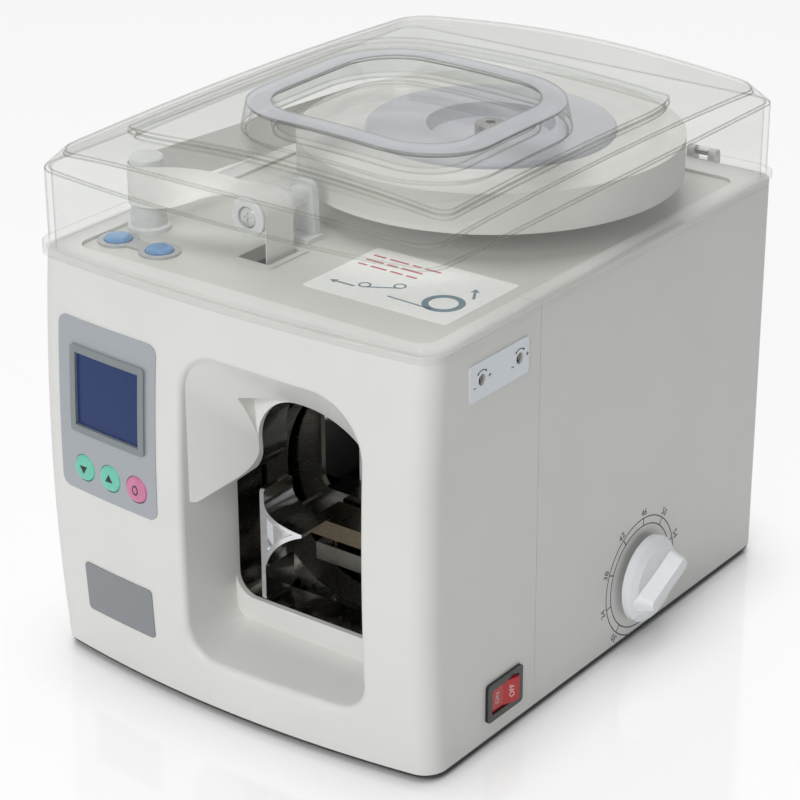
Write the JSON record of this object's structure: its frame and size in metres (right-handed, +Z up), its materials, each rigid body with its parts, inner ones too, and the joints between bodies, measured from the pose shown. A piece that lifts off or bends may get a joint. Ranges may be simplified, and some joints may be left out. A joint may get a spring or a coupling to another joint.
{
  "type": "banknote strapping machine",
  "caption": "Counter-top machine that winds paper tape round a bundle of banknotes, with a front note opening, a clear hinged cover over the tape reel, a display and a length dial",
  "frame": {"origin": "middle of the footprint of the whole machine, on the surface it stands on", "axes": "+X to the right seen from the front, +Y to the back, +Z up"},
  "size_m": [0.2494, 0.3128, 0.2835],
  "materials": {
    "casing": "moulded, fine texture",
    "black_steel": "black powder coat",
    "foot_rubber": "moulded",
    "deck": "moulded",
    "clear_cover": "clear moulded plastic",
    "steel": "machined",
    "bright_steel": "polished",
    "panel_silver": "printed silver",
    "dark_frame": "gloss",
    "lcd": "blue display",
    "circuit_board": "solder mask",
    "key_green": "rubber-like dome",
    "key_pink": "rubber-like dome",
    "label_silver": "satin",
    "white_plastic": "moulded",
    "knob_plastic": "moulded",
    "black_plastic": "moulded",
    "red_plastic": "gloss",
    "hub_grey": "moulded",
    "motor_black": "painted",
    "roller_rubber": "ground",
    "zinc": "zinc plated",
    "brass": "machined",
    "paper": "plain tape",
    "plate_grey": "satin",
    "button_blue": "translucent blue"
  },
  "bodies": {
    "casing": {"front_shell": "casing", "rear_shell": "casing", "base_plate": "black_steel", "rubber_feet": "foot_rubber", "top_deck": "deck", "hinge_pins": "steel", "display_panel": "panel_silver", "lcd_frame": "dark_frame", "lcd_glass": "lcd", "display_board": "circuit_board", "adjust_plate": "label_silver", "trimmer_board": "circuit_board", "switch_body": "black_plastic", "throat_liner": "bright_steel", "note_guide": "bright_steel", "frame_plate": "zinc", "roller_axles": "steel", "ring_motor": "motor_black", "feed_motor": "motor_black", "cutter_solenoid": "zinc", "clamp_solenoid": "zinc", "stop_rails": "steel", "reel_spindle": "steel", "tape_post": "white_plastic", "roller_screw": "bright_steel", "roller_bracket": "white_plastic", "paper_tape": "paper", "button_plate": "plate_grey", "button_board": "circuit_board", "power_inlet": "black_plastic", "transformer": "motor_black", "main_board": "circuit_board"},
    "cover": {"dust_cover": "clear_cover"},
    "down_key": {"key_down": "key_green"},
    "up_key": {"key_up": "key_green"},
    "clear_key": {"key_clear": "key_pink"},
    "feed_button": {"button_feed": "button_blue"},
    "bind_button": {"button_bind": "button_blue"},
    "front_trimmer": {"trimmer_front": "steel"},
    "rear_trimmer": {"trimmer_rear": "steel"},
    "rocker": {"switch_rocker": "red_plastic"},
    "knob": {"length_knob": "knob_plastic", "knob_shaft": "steel"},
    "stop": {"depth_stop": "white_plastic", "stop_rack": "white_plastic"},
    "ring": {"winding_ring": "steel", "tape_gripper": "bright_steel"},
    "top_roller": {"ring_roller_top": "white_plastic"},
    "left_roller": {"ring_roller_left": "white_plastic"},
    "right_roller": {"ring_roller_right": "white_plastic"},
    "pinion": {"ring_pinion": "steel"},
    "feed": {"feed_roller": "roller_rubber"},
    "pinch": {"pinch_roller": "roller_rubber"},
    "cutter": {"cutter_blade": "bright_steel"},
    "heat_block": {"heater": "brass"},
    "clamp": {"note_clamp": "steel"},
    "reel": {"paper_reel": "paper", "reel_hub": "hub_grey", "turntable": "white_plastic"},
    "guide_roller": {"tape_roller": "white_plastic"}
  },
  "joints": [
    {"name": "cover_open", "type": "hinge", "parent": "casing", "child": "cover", "pos_m": [-0.0079, 0.15325, 0.2142], "axis": [-1, 0, 0], "range_deg": [0, 100]},
    {"name": "down_press", "type": "slide", "parent": "casing", "child": "down_key", "axis": [0, 1, 0], "range_m": [0, 0.0008], "stiffness_N_per_m": 600, "springref_m": -0.0004},
    {"name": "up_press", "type": "slide", "parent": "casing", "child": "up_key", "axis": [0, 1, 0], "range_m": [0, 0.0008], "stiffness_N_per_m": 600, "springref_m": -0.0004},
    {"name": "clear_press", "type": "slide", "parent": "casing", "child": "clear_key", "axis": [0, 1, 0], "range_m": [0, 0.0008], "stiffness_N_per_m": 600, "springref_m": -0.0004},
    {"name": "feed_press", "type": "slide", "parent": "casing", "child": "feed_button", "axis": [0, 0, -1], "range_m": [0, 0.0015], "stiffness_N_per_m": 500, "springref_m": -0.0006},
    {"name": "bind_press", "type": "slide", "parent": "casing", "child": "bind_button", "axis": [0, 0, -1], "range_m": [0, 0.0015], "stiffness_N_per_m": 500, "springref_m": -0.0006},
    {"name": "front_turn", "type": "hinge", "parent": "casing", "child": "front_trimmer", "pos_m": [0.1071, -0.10735, 0.1914], "axis": [1, 0, 0], "range_deg": [-135, 135]},
    {"name": "rear_turn", "type": "hinge", "parent": "casing", "child": "rear_trimmer", "pos_m": [0.1071, -0.07835, 0.1914], "axis": [1, 0, 0], "range_deg": [-135, 135]},
    {"name": "rocker_tilt", "type": "hinge", "parent": "casing", "child": "rocker", "pos_m": [0.1031, -0.0869, 0.0235], "axis": [0, 0, 1], "range_deg": [0, 18]},
    {"name": "knob_turn", "type": "hinge", "parent": "casing", "child": "knob", "pos_m": [0.1107, 0.03285, 0.034], "axis": [-1, 0, 0], "range_deg": [-24, 187]},
    {"name": "stop_slide", "type": "slide", "parent": "casing", "child": "stop", "axis": [0, 1, 0], "range_m": [-0.00272, 0.02121]},
    {"name": "ring_spin", "type": "hinge", "parent": "casing", "child": "ring", "pos_m": [0.0261, -0.08415, 0.101], "axis": [0, 1, 0], "continuous": true},
    {"name": "top_roller_spin", "type": "hinge", "parent": "casing", "child": "top_roller", "pos_m": [0.0261, -0.08415, 0.171], "axis": [0, 1, 0], "continuous": true},
    {"name": "left_roller_spin", "type": "hinge", "parent": "casing", "child": "left_roller", "pos_m": [-0.04151, -0.08415, 0.08288], "axis": [0, 1, 0], "continuous": true},
    {"name": "right_roller_spin", "type": "hinge", "parent": "casing", "child": "right_roller", "pos_m": [0.09371, -0.08415, 0.08288], "axis": [0, 1, 0], "continuous": true},
    {"name": "pinion_spin", "type": "hinge", "parent": "casing", "child": "pinion", "pos_m": [-0.00058, -0.08415, 0.0277], "axis": [0, 1, 0], "continuous": true},
    {"name": "feed_spin", "type": "hinge", "parent": "casing", "child": "feed", "pos_m": [-0.0334, -0.08415, 0.19], "axis": [0, 1, 0], "continuous": true},
    {"name": "pinch_spin", "type": "hinge", "parent": "casing", "child": "pinch", "pos_m": [-0.0174, -0.08415, 0.19], "axis": [0, 1, 0], "continuous": true},
    {"name": "cutter_slide", "type": "slide", "parent": "casing", "child": "cutter", "axis": [1, 0, 0], "range_m": [0, 0.006], "stiffness_N_per_m": 80, "springref_m": -0.003},
    {"name": "heater_lift", "type": "slide", "parent": "casing", "child": "heat_block", "axis": [0, 0, 1], "range_m": [0, 0.004]},
    {"name": "clamp_drop", "type": "slide", "parent": "casing", "child": "clamp", "axis": [0, 0, -1], "range_m": [0, 0.018], "stiffness_N_per_m": 40, "springref_m": -0.02},
    {"name": "reel_spin", "type": "hinge", "parent": "casing", "child": "reel", "pos_m": [0.0031, 0.04785, 0.224], "axis": [0, 0, 1], "continuous": true},
    {"name": "guide_roller_spin", "type": "hinge", "parent": "casing", "child": "guide_roller", "pos_m": [-0.0334, -0.08415, 0.232], "axis": [0, 1, 0], "continuous": true}
  ],
  "couplings": [
    {"joint": "knob_turn", "follows": "stop_slide", "rad_per_m": 153.85},
    {"joint": "pinion_spin", "follows": "ring_spin", "ratio": -5.5},
    {"joint": "pinch_spin", "follows": "feed_spin", "ratio": -1.5},
    {"joint": "top_roller_spin", "follows": "ring_spin", "ratio": -9},
    {"joint": "left_roller_spin", "follows": "ring_spin", "ratio": -9},
    {"joint": "right_roller_spin", "follows": "ring_spin", "ratio": -9}
  ]
}
